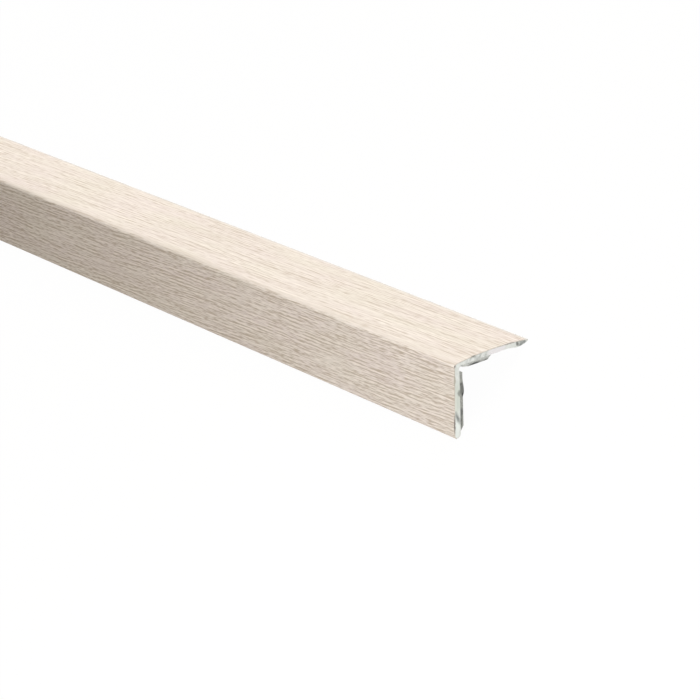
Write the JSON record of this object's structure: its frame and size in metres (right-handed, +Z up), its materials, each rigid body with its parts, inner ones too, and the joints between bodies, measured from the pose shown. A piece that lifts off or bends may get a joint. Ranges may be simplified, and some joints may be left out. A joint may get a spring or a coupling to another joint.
{
  "type": "corner guard moulding",
  "caption": "Long L-shaped corner guard moulding: a thin metal angle with a crowned, lipped top flange, washed-oak film outside and foam adhesive strips along the inside of both flanges.",
  "frame": {"origin": "on the floor, midway along the length and midway across the width over the two lips", "axes": "+X along the moulding, +Z up. The 25 mm top flange slopes down towards +Y and the 20 mm front flange towards -Y"},
  "size_m": [0.9, 0.0314, 0.0158],
  "materials": {
    "aluminium": "extruded and plain, cut square by saw",
    "oak_film": "washed oak print, fine matt grain",
    "foam_tape": "dark grey closed-cell foam"
  },
  "bodies": {
    "root": {"aluminium_angle": "aluminium", "decor_film": "oak_film", "adhesive_strip_top": "foam_tape", "adhesive_strip_front": "foam_tape"}
  },
  "joints": []
}
